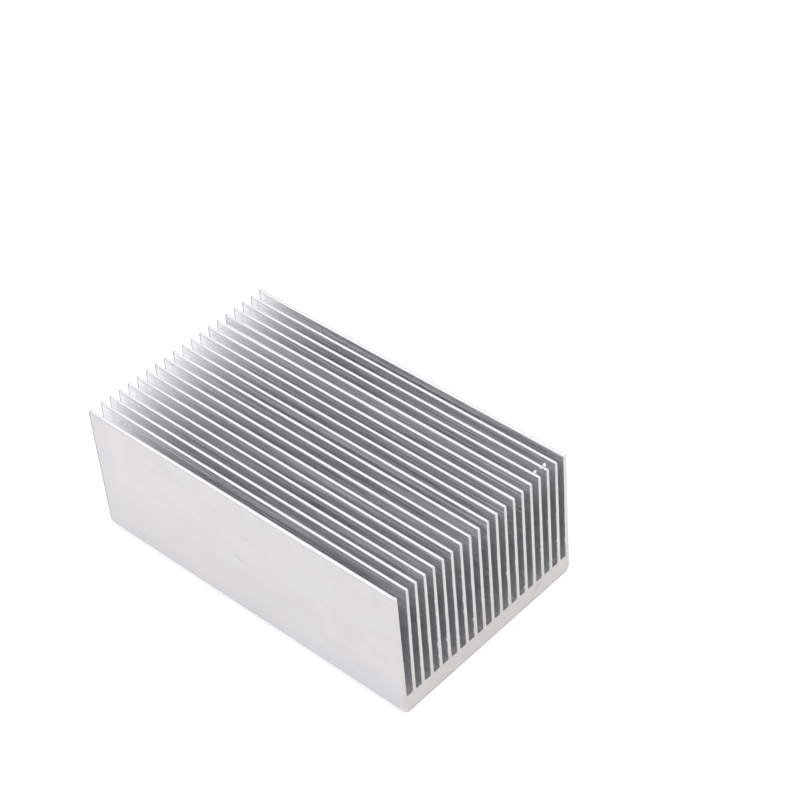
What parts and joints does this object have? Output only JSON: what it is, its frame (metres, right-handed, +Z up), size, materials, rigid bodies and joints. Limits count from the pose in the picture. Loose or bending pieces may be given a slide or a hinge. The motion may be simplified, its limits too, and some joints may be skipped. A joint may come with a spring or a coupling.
{
  "type": "extruded heat sink",
  "caption": "Extruded aluminium heat sink: a flat base plate with a dense row of tall, thin, straight parallel fins along its length, sawn square at both ends.",
  "frame": {"origin": "the middle of the base's flat underside, where the part rests or is fixed to what it cools", "axes": "+Y along the fins and slots, which is the length of the extrusion; +Z up from the base to the fin tips; +X across the fins"},
  "size_m": [0.0596, 0.1, 0.038],
  "materials": {
    "aluminium": "bare mill-finish extrusion with fine lines along its length, and matt sawn ends"
  },
  "bodies": {
    "root": {"heat_sink": "aluminium"}
  },
  "joints": []
}
